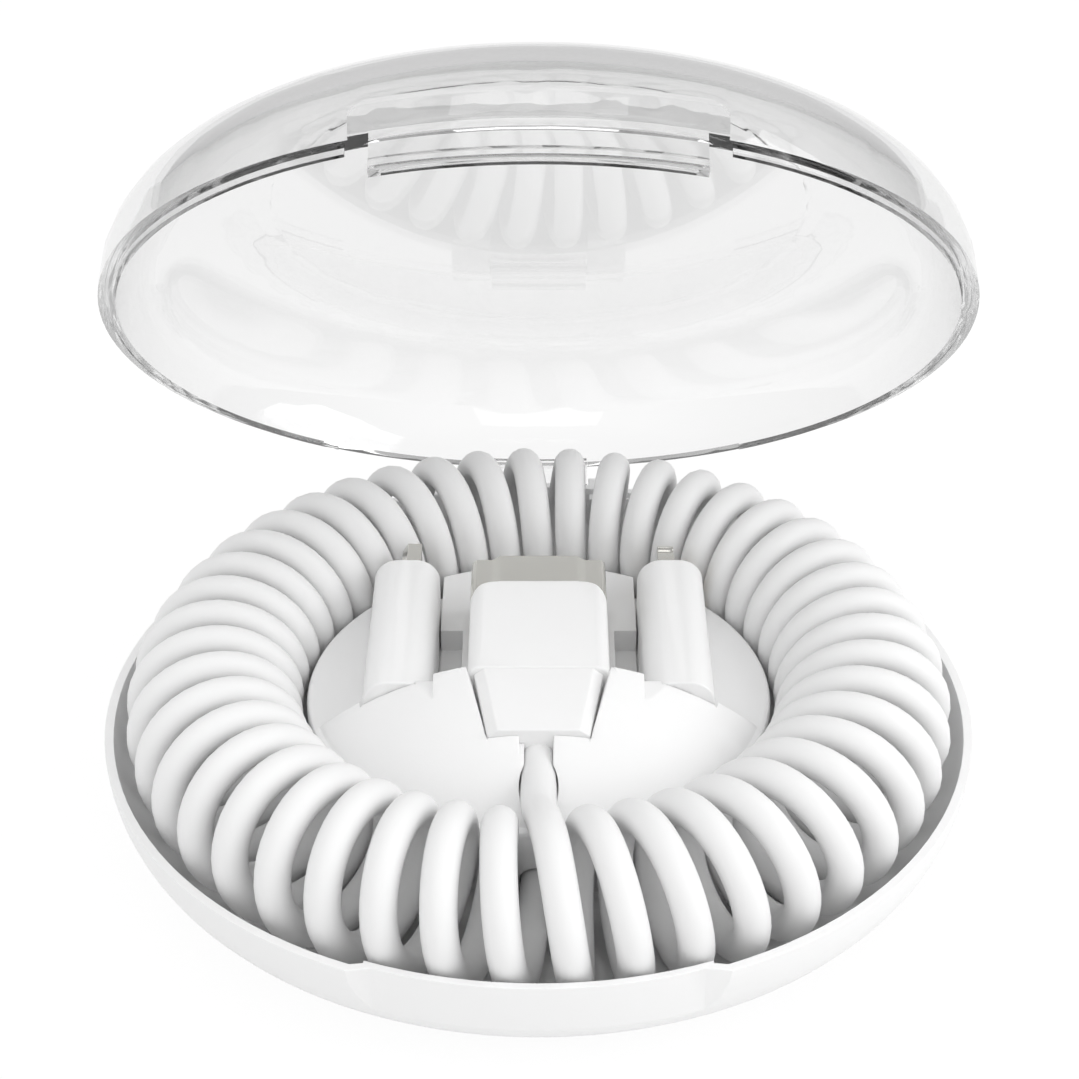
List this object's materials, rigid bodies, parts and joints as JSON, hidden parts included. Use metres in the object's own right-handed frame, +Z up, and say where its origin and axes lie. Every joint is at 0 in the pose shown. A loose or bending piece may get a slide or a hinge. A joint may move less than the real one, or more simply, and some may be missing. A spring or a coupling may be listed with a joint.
{
  "type": "usb cable",
  "caption": "Curly charging cable wound round a holder for stored plugs, in a round pocket shell with a clear hinged lid.",
  "frame": {"origin": "centre of the shell's flat underside", "axes": "+Z up, -Y the front with the latch, +Y the hinge side, +X to the right"},
  "size_m": [0.076, 0.0812, 0.069],
  "materials": {
    "white_case": "smooth moulded, satin gloss",
    "clear_lid": "clear, polished",
    "pin_steel": "drawn wire",
    "white_holder": "smooth moulded, satin",
    "cable_jacket": "smooth matt jacket",
    "plug_grip": "smooth moulded, satin",
    "plated_shell": "nickel plated, fine brushed",
    "insulator": "moulded",
    "dark_insulator": "moulded",
    "contacts": "gold flashed",
    "board": "solder-masked board"
  },
  "bodies": {
    "base": {"base_shell": "white_case", "hinge_pin": "pin_steel", "cable_holder": "white_holder", "cable_coil": "cable_jacket", "cable_exit": "cable_jacket", "cable_end": "cable_jacket", "main_plug_grip": "plug_grip", "main_plug_tail": "plug_grip", "main_plug_shell": "plated_shell", "main_plug_tongue": "insulator", "main_plug_contacts": "contacts", "main_plug_board": "board", "left_plug_grip": "plug_grip", "left_plug_shell": "plated_shell", "left_plug_tongue": "dark_insulator", "left_plug_contacts": "contacts", "left_plug_board": "board", "right_plug_grip": "plug_grip", "right_plug_tab": "plated_shell", "right_plug_inlay": "insulator", "right_plug_contacts": "contacts", "right_plug_board": "board"},
    "lid": {"lid_shell": "clear_lid"}
  },
  "joints": [
    {"name": "lid_hinge", "type": "hinge", "parent": "base", "child": "lid", "pos_m": [0, 0.0396, 0.006], "axis": [-1, 0, 0], "range_deg": [-49.2, 50.8]}
  ]
}
